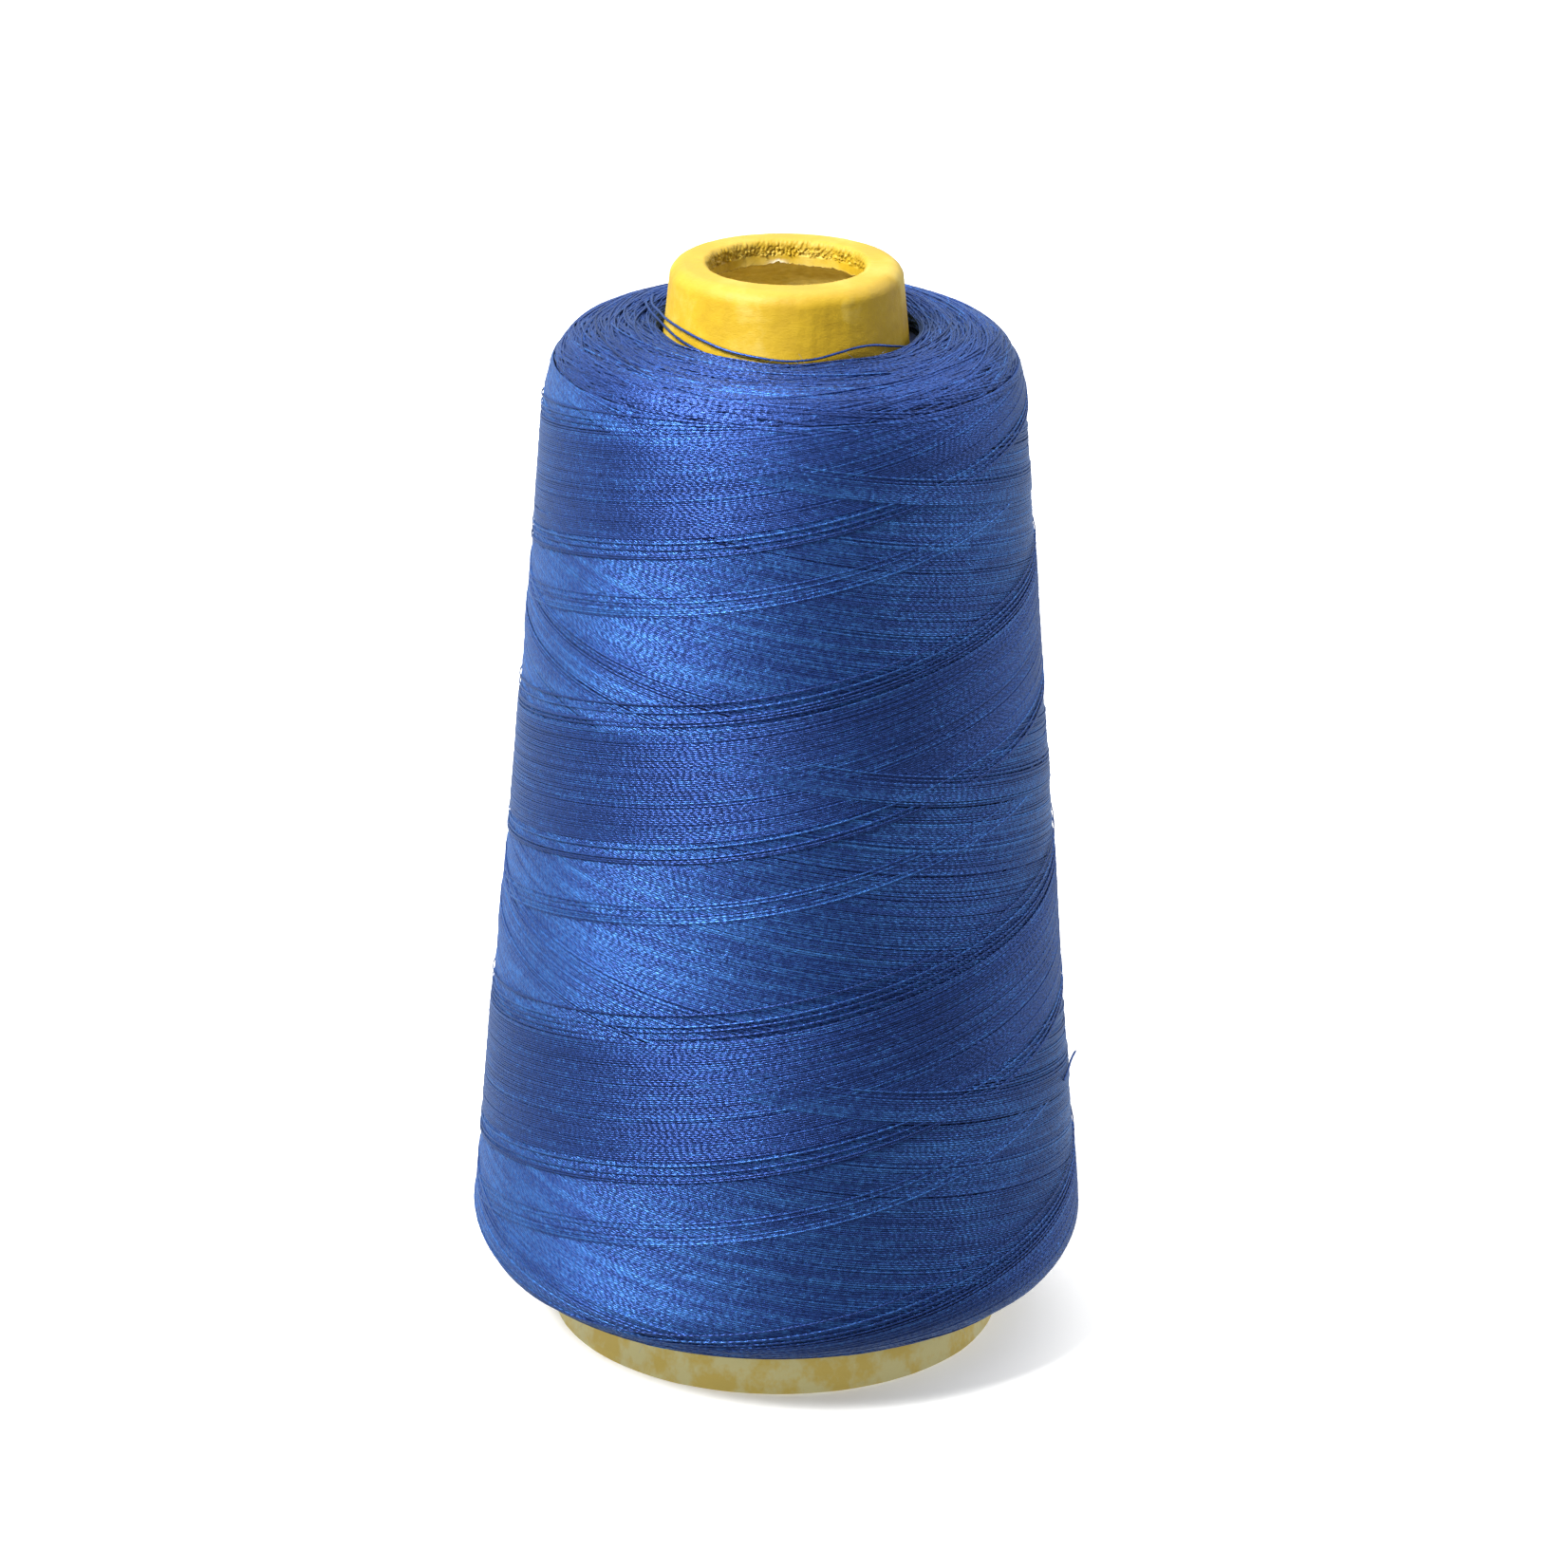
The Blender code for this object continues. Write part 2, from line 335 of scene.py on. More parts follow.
def floor_material():
    """Pale matt studio paper that glows a little, so that shadows on it stay soft."""
    material, tree, shader = new_material("studio_paper")
    speck = noise(tree, stretched(tree, (1, 1, 1)), 3.0, 2.0)
    pale = ramp(tree, speck, [(0.2, (0.86, 0.86, 0.855)), (0.8, (0.88, 0.88, 0.875))])
    link(tree, pale, shader.inputs["Base Color"])
    shader.inputs["Roughness"].default_value = 0.7
    shader.inputs["Emission Color"].default_value = (1.0, 1.0, 1.0, 1.0)
    shader.inputs["Emission Strength"].default_value = 0.27
    return material


# ---------------------------------------------------------------- mesh helpers


def add_piece(name, points, faces, material, attributes=None, uv=None, smooth=True):
    """A mesh object in the row frame from arrays; attributes are per point, uv is per face corner."""
    mesh = bpy.data.meshes.new(name)
    points = np.asarray(points, np.float32)
    faces = np.asarray(faces, np.int32)
    sides = faces.shape[1]
    mesh.vertices.add(len(points))
    mesh.vertices.foreach_set("co", points.ravel())
    mesh.loops.add(faces.size)
    mesh.loops.foreach_set("vertex_index", faces.ravel())
    mesh.polygons.add(len(faces))
    mesh.polygons.foreach_set("loop_start", np.arange(0, faces.size, sides, dtype=np.int32))
    mesh.update(calc_edges=True)
    mesh.polygons.foreach_set("use_smooth", np.full(len(faces), smooth))
    for key, values in (attributes or {}).items():
        layer = mesh.attributes.new(key, "FLOAT", "POINT")
        layer.data.foreach_set("value", np.asarray(values, np.float32))
    if uv is not None:
        layer = mesh.uv_layers.new(name="strand")
        layer.data.foreach_set("uv", np.asarray(uv, np.float32).ravel())
    mesh.validate()
    mesh.materials.append(material)
    piece = bpy.data.objects.new(name, mesh)
    bpy.context.scene.collection.objects.link(piece)
    return piece


def arc(centre, radii, start, end, steps):
    """Points of an elliptical arc in the (radius, height) plane; angles are in degrees."""
    angles = np.radians(np.linspace(start, end, steps + 1))
    return np.stack([centre[0] + radii[0] * np.cos(angles), centre[1] + radii[1] * np.sin(angles)], 1)


def resample(outline, count):
    """The outline as count points, evenly spaced along it."""
    outline = np.asarray(outline, float)
    length = np.concatenate([[0], np.cumsum(np.linalg.norm(np.diff(outline, axis=0), axis=1))])
    even = np.linspace(0, length[-1], count)
    return np.stack([np.interp(even, length, outline[:, axis]) for axis in (0, 1)], 1)


def ring_faces(rows, columns, closed_rows):
    """Quads of a grid that closes round the axis, and along the outline too where closed_rows is true."""
    row = np.arange(rows if closed_rows else rows - 1)
    column = np.arange(columns)
    row, column = np.meshgrid(row, column, indexing="ij")
    after_row, after_column = (row + 1) % rows, (column + 1) % columns
    corners = [row * columns + column, row * columns + after_column]
    corners += [after_row * columns + after_column, after_row * columns + column]
    return np.stack([corner.ravel() for corner in corners], 1)


def revolve(radius, height, angles):
    """Points of a surface of revolution whose radius and height are (rows, angles) arrays."""
    return np.stack([radius * np.cos(angles), radius * np.sin(angles), height], -1).reshape(-1, 3)


def wave_sum(angles, orders, seed, along=None, drift=0.0):
    """Smooth noise that closes round the axis: a sum of cosines of the orders, between about -1 and 1."""
    rng = np.random.default_rng(seed)
    total = 0
    for order in orders:
        phase = rng.uniform(0, TURN)
        lean = rng.uniform(-drift, drift)
        size = rng.uniform(0.5, 1.0)
        total = total + size * np.cos(order * angles + phase + (0 if along is None else lean * along))
    return total / (0.75 * math.sqrt(len(orders)) * 1.4)


# ---------------------------------------------------------------- the paper cone


def make_cover(material):
    """The dyed outside paper: smooth up the cone, over the nose, then pleated and torn inside the mouth."""
    columns = 600
    angles = np.linspace(0, TURN, columns, endpoint=False)
    corner_height = CONE_LENGTH - NOSE_ROUNDING
    corner = (taper_radius(corner_height) - NOSE_ROUNDING, corner_height)
    mouth = (MOUTH_RADIUS + MOUTH_FLARE + MOUTH_TURN, CONE_LENGTH - MOUTH_TURN)
    foot = CONE_LENGTH - LIP_DEPTH
    side_foot = [taper_radius(LAYER_GAP), LAYER_GAP]
    side = np.linspace(side_foot, [taper_radius(corner_height), corner_height], 24)
    rim = arc(corner, (NOSE_ROUNDING, NOSE_ROUNDING), 0, 90, 12)[1:]
    turn = arc(mouth, (MOUTH_TURN, MOUTH_TURN), 90, 180, 8)
    lip = np.linspace([MOUTH_RADIUS + MOUTH_FLARE, CONE_LENGTH - MOUTH_TURN], [MOUTH_RADIUS, foot], 22)[1:]
    crest = np.linspace(rim[-1], turn[0], 7)[1:-1]
    outside = np.concatenate([side, rim, crest, turn, lip])

    # How far into the nose each row is: 0 on the side, 1 at the torn edge.
    inward = np.clip((corner[0] - outside[:, 0]) / (corner[0] - MOUTH_RADIUS), 0, 1)
    inward *= outside[:, 1] > corner_height
    down = np.clip((CONE_LENGTH - MOUTH_TURN - outside[:, 1]) / (LIP_DEPTH - MOUTH_TURN), 0, 1)
    down *= outside[:, 0] < mouth[0]
    inward, down = inward[:, None], down[:, None]

    pleats = wave_sum(angles, range(19, 41, 3), 3, inward + down, 3.0)
    creases = 1 - 2 * np.abs(wave_sum(angles, range(31, 90, 7), 5, inward + 2 * down, 14.0))
    crumple = wave_sum(angles, range(60, 150, 9), 6, inward + 2 * down, 30.0)
    dents = wave_sum(angles, (2, 3, 5), 8)
    lumps = 0.6 * wave_sum(angles, range(9, 26, 4), 13, outside[:, 1:] * 900, 1.0)
    lumps = lumps + 0.4 * wave_sum(angles, range(28, 60, 6), 14, outside[:, 1:] * 900, 2.0)
    depth = inward**3 * (0.24 + 0.36 * down)
    radius = outside[:, :1] + MM * (
        depth * (0.40 * pleats + 0.50 * creases + 0.50 * crumple)
        + 0.05 * dents * (1 - down)
        + 0.05 * lumps * (1 - inward)
    )
    height = outside[:, 1:] + MM * (
        0.10 * inward * (1 - down) * (dents + 0.4 * pleats) + 0.05 * inward**2 * crumple
    )
    # The torn edge hangs lower in some places than in others.
    ragged = 0.16 * wave_sum(angles, range(3, 12), 21) + 0.10 * wave_sum(angles, range(24, 70, 5), 22)
    ragged += 0.08 * wave_sum(angles, range(90, 170, 11), 23)
    height = height + MM * down * ragged
    chip = np.exp(-(((angles - math.radians(97)) / math.radians(5.5)) ** 2))
    height = height + MM * 0.45 * chip * down**4

    normal = np.gradient(outside, axis=0)
    normal = np.stack([normal[:, 1], -normal[:, 0]], 1)
    normal /= np.linalg.norm(normal, axis=1)[:, None]
    back_radius = radius - COVER_THICKNESS * normal[:, :1]
    back_height = height - COVER_THICKNESS * normal[:, 1:]
    radius = np.concatenate([radius, back_radius[::-1]])
    height = np.concatenate([height, back_height[::-1]])

    edge = np.clip((down - 0.90) / 0.10, 0, 1) * (0.35 + 0.65 * (creases > 0.2))
    raw = np.clip(chip * np.clip((down - 0.70) / 0.3, 0, 1) * 1.1 + 0.10 * edge, 0, 1)
    raw = np.concatenate([raw, np.full_like(raw, 0.6)])
    faces = ring_faces(len(radius), columns, True)
    return add_piece(
        "paper_cover", revolve(radius, height, angles), faces, material, {"raw": raw.ravel()}
    )


def make_board(material):
    """The wound board wall, with the step of each lapped ply inside and the curled bead at the nose."""
    columns = 256
    angles = np.linspace(0, TURN, columns, endpoint=False)
    skin = COVER_THICKNESS + LAYER_GAP
    bead_top = CONE_LENGTH - skin
    bead_inner = MOUTH_RADIUS + skin + 0.5 * MM
    rounding = NOSE_ROUNDING - skin
    corner_height = bead_top - rounding
    corner_radius = taper_radius(corner_height) - skin
    bead_foot = CONE_LENGTH - LIP_DEPTH + 0.8 * MM
    wall_top = 161.5 * MM
    edge = 0.15 * MM
    outside = np.linspace([CONE_BASE_RADIUS - skin, edge], [corner_radius, corner_height], 40)
    bead = [
        arc((corner_radius - rounding, corner_height), (rounding, rounding), 0, 90, 8)[1:],
        arc((bead_inner + 0.6 * MM, bead_top - 0.6 * MM), (0.6 * MM, 0.6 * MM), 90, 180, 4),
        arc((bead_inner + 0.8 * MM, bead_foot), (0.8 * MM, 0.8 * MM), 180, 250, 5),
    ]
    inside = np.linspace(
        [taper_radius(wall_top) - CONE_WALL, wall_top], [CONE_BASE_RADIUS - CONE_WALL, edge], 60
    )
    foot = np.linspace(
        [CONE_BASE_RADIUS - CONE_WALL + edge, 0], [CONE_BASE_RADIUS - skin - edge, 0], 6
    )
    outline = np.concatenate([outside, *bead, inside, foot])
    radius = np.repeat(outline[:, :1], columns, 1)
    height = np.repeat(outline[:, 1:], columns, 1)
    on_inside = np.zeros(len(outline), bool)
    start = len(outside) + sum(len(part) for part in bead)
    on_inside[start : start + len(inside)] = True
    # Each ply laps over the one before along a steep spiral.
    lap = (angles / TURN + height / (58 * MM)) % 1.0
    radius = radius + on_inside[:, None] * (0.22 * MM * (lap - 0.5))
    faces = ring_faces(len(outline), columns, True)
    return add_piece("board_wall", revolve(radius, height, angles), faces, material)


# ---------------------------------------------------------------- the winding


def winding_outline():
    """The winding's outline: bottom edge, up the side and over the top into the crevice at the collar."""
    bottom_inner = taper_radius(PACKAGE_BOTTOM) + LAYER_GAP
    reach = (BOTTOM_RADIUS - bottom_inner, SHOULDER_BOTTOM - PACKAGE_BOTTOM)
    shoulder = arc((bottom_inner, SHOULDER_BOTTOM), reach, -90, 0, 60)
    corner_inner = 30.2 * MM
    corner_reach = (TOP_RADIUS - corner_inner, 13 * MM)
    corner = arc((corner_inner, SHOULDER_TOP), corner_reach, 0, 74, 60)
    slope = [(28.0 * MM, 159.7 * MM), (24.3 * MM, 160.7 * MM)]
    wall = taper_radius(PACKAGE_CREST) + CREVICE_WIDTH
    crest = arc((CREST_RADIUS, PACKAGE_CREST - 1.6 * MM), (CREST_RADIUS - wall, 1.6 * MM), 80, 180, 40)
    floor = [(taper_radius(CREVICE_FLOOR) + CREVICE_WIDTH - 0.2 * MM, CREVICE_FLOOR + 0.3 * MM)]
    return resample(np.concatenate([shoulder, corner, slope, crest, floor]), 3000)


def outline_normals(outline, at):
    """Outward unit normals, smoothed so that they turn evenly where the outline's pieces meet."""
    along = np.gradient(outline, at, axis=0)
    for _ in range(60):
        along[1:-1] = (along[:-2] + along[1:-1] * 2 + along[2:]) / 4
    normals = np.stack([along[:, 1], -along[:, 0]], 1)
    return normals / np.linalg.norm(normals, axis=1)[:, None]


OUTLINE = winding_outline()
OUTLINE_LENGTH = float(np.sum(np.linalg.norm(np.diff(OUTLINE, axis=0), axis=1)))
OUTLINE_AT = np.linspace(0, OUTLINE_LENGTH, len(OUTLINE))
OUTLINE_NORMAL = outline_normals(OUTLINE, OUTLINE_AT)


def on_outline(at, values):
    return np.interp(at, OUTLINE_AT, values)


def uneven(angle, at):
    """How far the winding's surface stands off its outline here: soft unevenness, most at the top."""
    top = np.clip((at - 0.80 * OUTLINE_LENGTH) / (0.15 * OUTLINE_LENGTH), 0, 1)
    swell = 0.10 * np.sin(2 * angle + 1.0 + 40 * at) + 0.07 * np.sin(3 * angle + 2.0 - 70 * at)
    back_higher = 0.55 * np.sin(angle) + 0.15 * np.sin(2 * angle + 0.6) + 0.10 * np.sin(5 * angle + 2)
    # The winding stands further off the collar on the +X side.
    crest = np.clip((at - 0.925 * OUTLINE_LENGTH) / (0.05 * OUTLINE_LENGTH), 0, 1)
    off_side = np.angle(np.exp(1j * (angle - 0.05)))
    slack = crest * (1.25 * np.exp(-((off_side / 0.62) ** 2)) + 0.15 * np.sin(7 * angle))
    return MM * (swell + top * back_higher - slack)


def placed(angle, at, lift):
    """Points and outward normals on the winding, lift above its outline."""
    radius, height = on_outline(at, OUTLINE[:, 0]), on_outline(at, OUTLINE[:, 1])
    out, up = on_outline(at, OUTLINE_NORMAL[:, 0]), on_outline(at, OUTLINE_NORMAL[:, 1])
    off = lift + uneven(angle, at)
    points = np.stack(
        [(radius + off * out) * np.cos(angle), (radius + off * out) * np.sin(angle), height + off * up], -1
    )
    normals = np.stack([out * np.cos(angle), out * np.sin(angle), up], -1)
    return points, normals


def make_core(material):
    """The body of the winding under its outer strands."""
    columns = 240
    angles = np.linspace(0, TURN, columns, endpoint=False)
    at = np.linspace(0, OUTLINE_LENGTH, 170)[:, None]
    grid_angle = np.broadcast_to(angles, (len(at), columns))
    grid_at = np.broadcast_to(at, grid_angle.shape)
    points, _ = placed(grid_angle, grid_at, -0.42 * MM)
    inner = []
    for height in (CREVICE_FLOOR, PACKAGE_BOTTOM + 0.4 * MM):
        radius = taper_radius(height) + 0.05 * MM
        inner.append(revolve(np.full((1, columns), radius), np.full((1, columns), height), angles))
    points = np.concatenate([points.reshape(-1, 3), *inner])
    return add_piece("winding_core", points, ring_faces(len(at) + 2, columns, True), material)


# A traverse carries the thread once up or once down the winding, crossing it everywhere at WIND_ANGLE.
PITCH = 0.30 * MM
WIND_ANGLE = math.radians(10.6)
TRAVERSE_LOW = 7.0 * MM
TRAVERSE_HIGH = OUTLINE_LENGTH - 17.0 * MM
NARROWING = math.log(BOTTOM_RADIUS / TOP_RADIUS)
TRAVERSE_ANGLE = NARROWING * (TRAVERSE_HIGH - TRAVERSE_LOW) / (
    (BOTTOM_RADIUS - TOP_RADIUS) * math.tan(WIND_ANGLE)
)
STEP_ANGLE = TURN / 96
CELL_AT = 0.11 * MM
CELLS_ROUND = 768
FRONT = math.radians(270)


def share_climbed(turned):
    """The share of the climb done after a share of the turning: quicker where the cone is wide."""
    return (1 - np.exp(-NARROWING * turned)) / (1 - math.exp(-NARROWING))


def share_turned(climbed):
    """The other way round."""
    return -np.log(1 - climbed * (1 - math.exp(-NARROWING))) / NARROWING


class Cover:
    """Which parts of the winding's surface are already under a later strand.

    A strand hides the next one of its own sheet over its own width only, and strands of earlier sheets
    over a little more, so that no slivers of them show between neighbours that nearly touch.
    """

    def __init__(self):
        rows = int(OUTLINE_LENGTH / CELL_AT) + 10
        self.settled = np.zeros((rows, CELLS_ROUND), bool)
        self.fresh = np.zeros((rows, CELLS_ROUND), bool)
        self.spread = np.zeros((rows, CELLS_ROUND), bool)

    def settle(self):
        """Ends a sheet."""
        self.settled |= self.spread
        self.fresh[:] = False
        self.spread[:] = False

    def lay(self, angle, at, apart):
        """Marks the strand's cells and says at which of its points it shows."""
        fine = np.linspace(0, len(angle) - 1, (len(angle) - 1) * 4 + 1)
        steps = np.arange(len(angle))
        fine_angle, fine_at = np.interp(fine, steps, angle), np.interp(fine, steps, at)
        column = np.floor(fine_angle / TURN * CELLS_ROUND).astype(int) % CELLS_ROUND
        row = np.clip(np.round(fine_at / CELL_AT).astype(int) + 3, 3, self.settled.shape[0] - 4)
        free = np.zeros(len(fine), int)
        for shift in (-1, 0, 1):
            free += ~(self.fresh[row + shift, column] | self.settled[row + shift, column])
        for shift in (-1, 0, 1):
            self.fresh[row + shift, column] = True
        reach = 1 if apart else 2
        for shift in range(-reach, reach + 1):
            self.spread[row + shift, column] = True
        shown = np.pad(free >= (1 if apart else 2), 2)
        near = shown[:-4] | shown[1:-3] | shown[2:-2] | shown[3:-1] | shown[4:]
        return near[::4]


def runs_of(shown, shortest=3):
    """The (start, end) spans over which a strand shows, each with one step more at either end."""
    padded = np.pad(shown.astype(int), 1)
    starts = np.flatnonzero(np.diff(padded) == 1)
    ends = np.flatnonzero(np.diff(padded) == -1)
    spans = []
    for start, end in zip(starts, ends):
        start, end = max(start - 1, 0), min(end + 1, len(shown))
        if spans and start - spans[-1][1] < 3:
            spans[-1][1] = end
        elif end - start > shortest:
            spans.append([start, end])
    return spans


def traverse(rng, rises, front_at, wander):
    """One traverse that passes the front of the cone at front_at, turning back a little at both ends."""
    height = TRAVERSE_HIGH - TRAVERSE_LOW
    steps = int(TRAVERSE_ANGLE / STEP_ANGLE)
    extra = int(0.5 / STEP_ANGLE)
    part = np.arange(-extra, steps + extra + 1)
    swing = np.arccos(0.9965 * np.cos(math.pi * part / steps)) / math.pi
    at = TRAVERSE_LOW + height * share_climbed(swing)
    away = part * STEP_ANGLE - TRAVERSE_ANGLE * share_turned((front_at - TRAVERSE_LOW) / height)
    angle = FRONT + (away if rises else -away)
    shared = 0.35 * np.sin(angle + 0.8) + 0.22 * np.sin(2 * angle + 2.1) + 0.12 * np.sin(5 * angle + 0.4)
    phases = rng.uniform(0, TURN, 3)
    own = sum(np.sin(angle * rate + phase) for rate, phase in zip((0.31, 0.7, 1.7), phases)) * wander
    end = math.pi * np.clip(part / steps, 0, 1)
    at = at + MM * np.sin(end) * ((shared if rises else -shared) + own)
    return angle, at


def sheet_of_turns(rng, rises, top, width, loose_from_top, lift, tone):
    """Neighbouring traverses from top downwards, all in mm; the ones at the top edge lie apart."""
    strands = []
    place, loose = 0.0, list(loose_from_top)
    while place < width:
        gap = loose.pop(0) if loose else PITCH / MM * rng.uniform(0.86, 1.14)
        apart = gap > 1.3 * PITCH / MM
        share = place / width
        rise_here = lift[0] + (lift[1] - lift[0]) * share + rng.normal(0, 0.025)
        angle, at = traverse(rng, rises, (top - place) * MM, 0.20 if apart else 0.025)
        strands.append((angle, at, rise_here, tone + rng.normal(0, 0.05), apart))
        place += gap
    return strands


def wound_strands(rng):
    """The strands on the winding's side in sheets, latest first.

    Each strand is (angle, at, lift in mm, tone, lies apart), where at is the distance along the outline.
    """
    # The falling sheets are given lighter tones than the rising ones: a painted highlight on the strand
    # family that catches the light.
    return [
        sheet_of_turns(rng, False, 106.0, 4.6, (0.7, 0.5), (0.22, 0.16), 0.57),
        sheet_of_turns(rng, True, 117.0, 21.5, (1.5, 1.0, 0.8, 0.55, 0.45), (0.30, 0.10), 0.46),
        sheet_of_turns(rng, True, 141.0, 2.2, (1.1, 0.8), (0.20, 0.14), 0.52),
        sheet_of_turns(rng, False, 112.5, 3.0, (0.45, 1.1, 0.6), (0.10, 0.06), 0.50),
        sheet_of_turns(rng, False, 109.0, 18.0, (), (0.06, -0.04), 0.58),
        sheet_of_turns(rng, True, 133.0, 3.0, (0.7, 0.9, 0.5), (0.05, 0.00), 0.52),
        sheet_of_turns(rng, False, 91.5, 32.0, (0.7, 0.5), (0.00, -0.10), 0.56),
        sheet_of_turns(rng, True, 100.0, 52.0, (), (-0.16, -0.22), 0.45),
    ]


def end_strands(rng, count, low, high, upwards):
    """Short turning strands on one end of the winding, latest first."""
    strands = []
    order = np.sort(np.linspace(0, 1, count) + rng.normal(0, 0.04, count))
    for place in order:
        place = min(max(place, 0.0), 1.0)
        peak = low + (high - low) * place if upwards else high - (high - low) * place
        centre = rng.uniform(0, TURN)
        half = rng.uniform(0.8, 1.5)
        steps = int(2 * half / STEP_ANGLE)
        away = np.linspace(-half, half, steps + 1)
        width = rng.uniform(0.25, 0.6)
        rise = math.tan(WIND_ANGLE) * on_outline(peak, OUTLINE[:, 0])
        turn_back = rise * (np.sqrt(away**2 + width**2) - width)
        at = peak - turn_back if upwards else peak + turn_back
        lift = rng.normal(-0.04, 0.04 + 0.13 * place) - 0.12 * place
        tone = (0.36 if upwards else 0.52) + rng.normal(0, 0.11)
        apart = rng.uniform() < 0.15 + 0.35 * place
        strands.append((centre + away, at, lift, tone, apart))
    return strands


def strand_sections(sheets, rng):
    """The visible runs of all strands as flat arrays: angle, at, lift, size, tone and run number."""
    cover = Cover()
    runs = [[], [], [], [], [], []]
    for sheet in sheets:
        for angle, at, lift_mm, tone, apart in sheet:
            inside = (at > 0.2 * MM) & (at < OUTLINE_LENGTH - 0.1 * MM)
            shown = cover.lay(angle, np.clip(at, 0, OUTLINE_LENGTH), apart) & inside
            for start, end in runs_of(shown):
                count = end - start
                lift = np.full(count, lift_mm * MM)
                size = np.full(count, WOUND_RADIUS)
                lift[[0, -1]] -= 0.22 * MM
                size[[0, -1]] *= 0.55
                tones = np.full(count, tone + rng.normal(0, 0.02))
                number = np.full(count, len(runs[0]))
                run = (angle[start:end], at[start:end], lift, size, tones, number)
                for column, values in zip(runs, run):
                    column.append(values)
        cover.settle()
    return [np.concatenate(values) for values in runs]


SECTION = np.radians([102.0, 42.0, -42.0, -102.0])


def build_strands(name, material, angle, at, lift, size, tone, number):
    """One piece from the sections: a closed four-sided strand for each run."""
    points, normals = placed(angle, at, lift)
    same = number[1:] == number[:-1]
    ahead = np.zeros_like(points)
    ahead[:-1][same] += (points[1:] - points[:-1])[same]
    ahead[1:][same] += (points[1:] - points[:-1])[same]
    ahead /= np.linalg.norm(ahead, axis=1)[:, None]
    side = np.cross(ahead, normals)
    side /= np.linalg.norm(side, axis=1)[:, None]
    rings = [
        points + size[:, None] * (math.cos(turn) * normals + math.sin(turn) * side) for turn in SECTION
    ]
    corners = np.stack(rings, 1)
    first = np.flatnonzero(same) * 4
    step = np.linalg.norm(np.diff(points, axis=0), axis=1)
    length = np.concatenate([[0], np.cumsum(step)]) / TWIST_LAY
    # Each run starts its twist at its own place and twists a little more or less than its neighbours.
    rng = np.random.default_rng(41)
    start, lay = rng.uniform(0, 1, number.max() + 1), rng.uniform(0.88, 1.12, number.max() + 1)
    length = length * lay[number] + start[number]
    faces, uv = [], []
    for index in range(4):
        after = (index + 1) % 4
        faces.append(np.stack([first + index, first + after, first + 4 + after, first + 4 + index], 1))
        here, there = length[first // 4], length[first // 4 + 1]
        low, high = np.full_like(here, index / 4), np.full_like(here, (index + 1) / 4)
        uv.append(np.stack([low, here, high, here, high, there, low, there], 1))
    begins = np.flatnonzero(np.concatenate([[True], ~same])) * 4
    ends = np.flatnonzero(np.concatenate([~same, [True]])) * 4
    faces.append(np.stack([begins + 3, begins + 2, begins + 1, begins], 1))
    faces.append(np.stack([ends, ends + 1, ends + 2, ends + 3], 1))
    uv.append(np.zeros((len(begins) + len(ends), 8)))
    tones = np.repeat(tone, 4)
    return add_piece(
        name, corners.reshape(-1, 3), np.concatenate(faces), material, {"tone": tones}, np.concatenate(uv)
    )


BAND_COUNT = 6


def make_winding(material):
    """All the strands that show, split by height into bands of like size."""
    rng = np.random.default_rng(11)
    sheets = wound_strands(rng)
    sheets.append(end_strands(rng, 900, TRAVERSE_HIGH - 4 * MM, OUTLINE_LENGTH + 1.0 * MM, True))
    sheets.append(end_strands(rng, 600, -0.5 * MM, TRAVERSE_LOW + 5 * MM, False))
    sections = strand_sections(sheets, rng)
    at, number = sections[1], sections[5]
    runs = int(number.max()) + 1
    totals = np.bincount(number, weights=at, minlength=runs)
    counts = np.bincount(number, minlength=runs)
    middle = totals / counts
    order = np.argsort(middle)
    share = np.cumsum(counts[order]) / counts.sum()
    band_of = np.empty(runs, int)
    band_of[order] = np.minimum((share * BAND_COUNT).astype(int), BAND_COUNT - 1)
    pieces = []
    for band in range(BAND_COUNT):
        keep = band_of[number] == band
        kept = [part[keep] for part in sections]
        pieces.append(build_strands(f"winding_band_{band + 1}", material, *kept))
    return pieces


# ---------------------------------------------------------------- loose strands, cut end, stray fibres

TOUCHING = LAYER_GAP + STRAND_DIAMETER / 2
LONG_STRAND = [
    (152, 0.0047, 0.1616),
    (159, 0.0036, 0.1616),
    (166, 0.0026, 0.1617),
    (172, 0.0018, 0.1619),
    (179, 0.0010, 0.1621),
    (187, 0.0006, 0.1623),
    (196, TOUCHING, 0.1625),
    (206, TOUCHING, 0.1626),
    (217, TOUCHING, 0.1624),
    (229, TOUCHING, 0.1619),
    (242, TOUCHING, 0.1612),
    (256, TOUCHING, 0.1607),
    (270, TOUCHING, 0.1603),
    (283, TOUCHING, 0.1605),
    (294, TOUCHING, 0.1611),
    (304, TOUCHING, 0.1615),
    (314, TOUCHING, 0.1613),
    (325, TOUCHING, 0.1604),
    (336, TOUCHING, 0.1594),
    (348, TOUCHING, 0.1583),
    (360, TOUCHING, 0.1576),
]
SHORT_STRAND = [
    (159, 0.0045, 0.1616),
    (166, 0.0035, 0.1616),
    (172, 0.0026, 0.1616),
    (179, 0.0017, 0.1615),
    (187, 0.0009, 0.1614),
    (196, TOUCHING, 0.1613),
    (206, TOUCHING, 0.1611),
    (217, TOUCHING, 0.1607),
    (228, TOUCHING, 0.1602),
    (239, TOUCHING, 0.1597),
    (250, TOUCHING, 0.1592),
]
CUT_END = [(-14, 0.00055), (-11, 0.00055), (-8, 0.00058), (-5, 0.0007), (-2.5, 0.0010), (-0.5, 0.0014)]
CUT_END_HEIGHT = 43.0 * MM


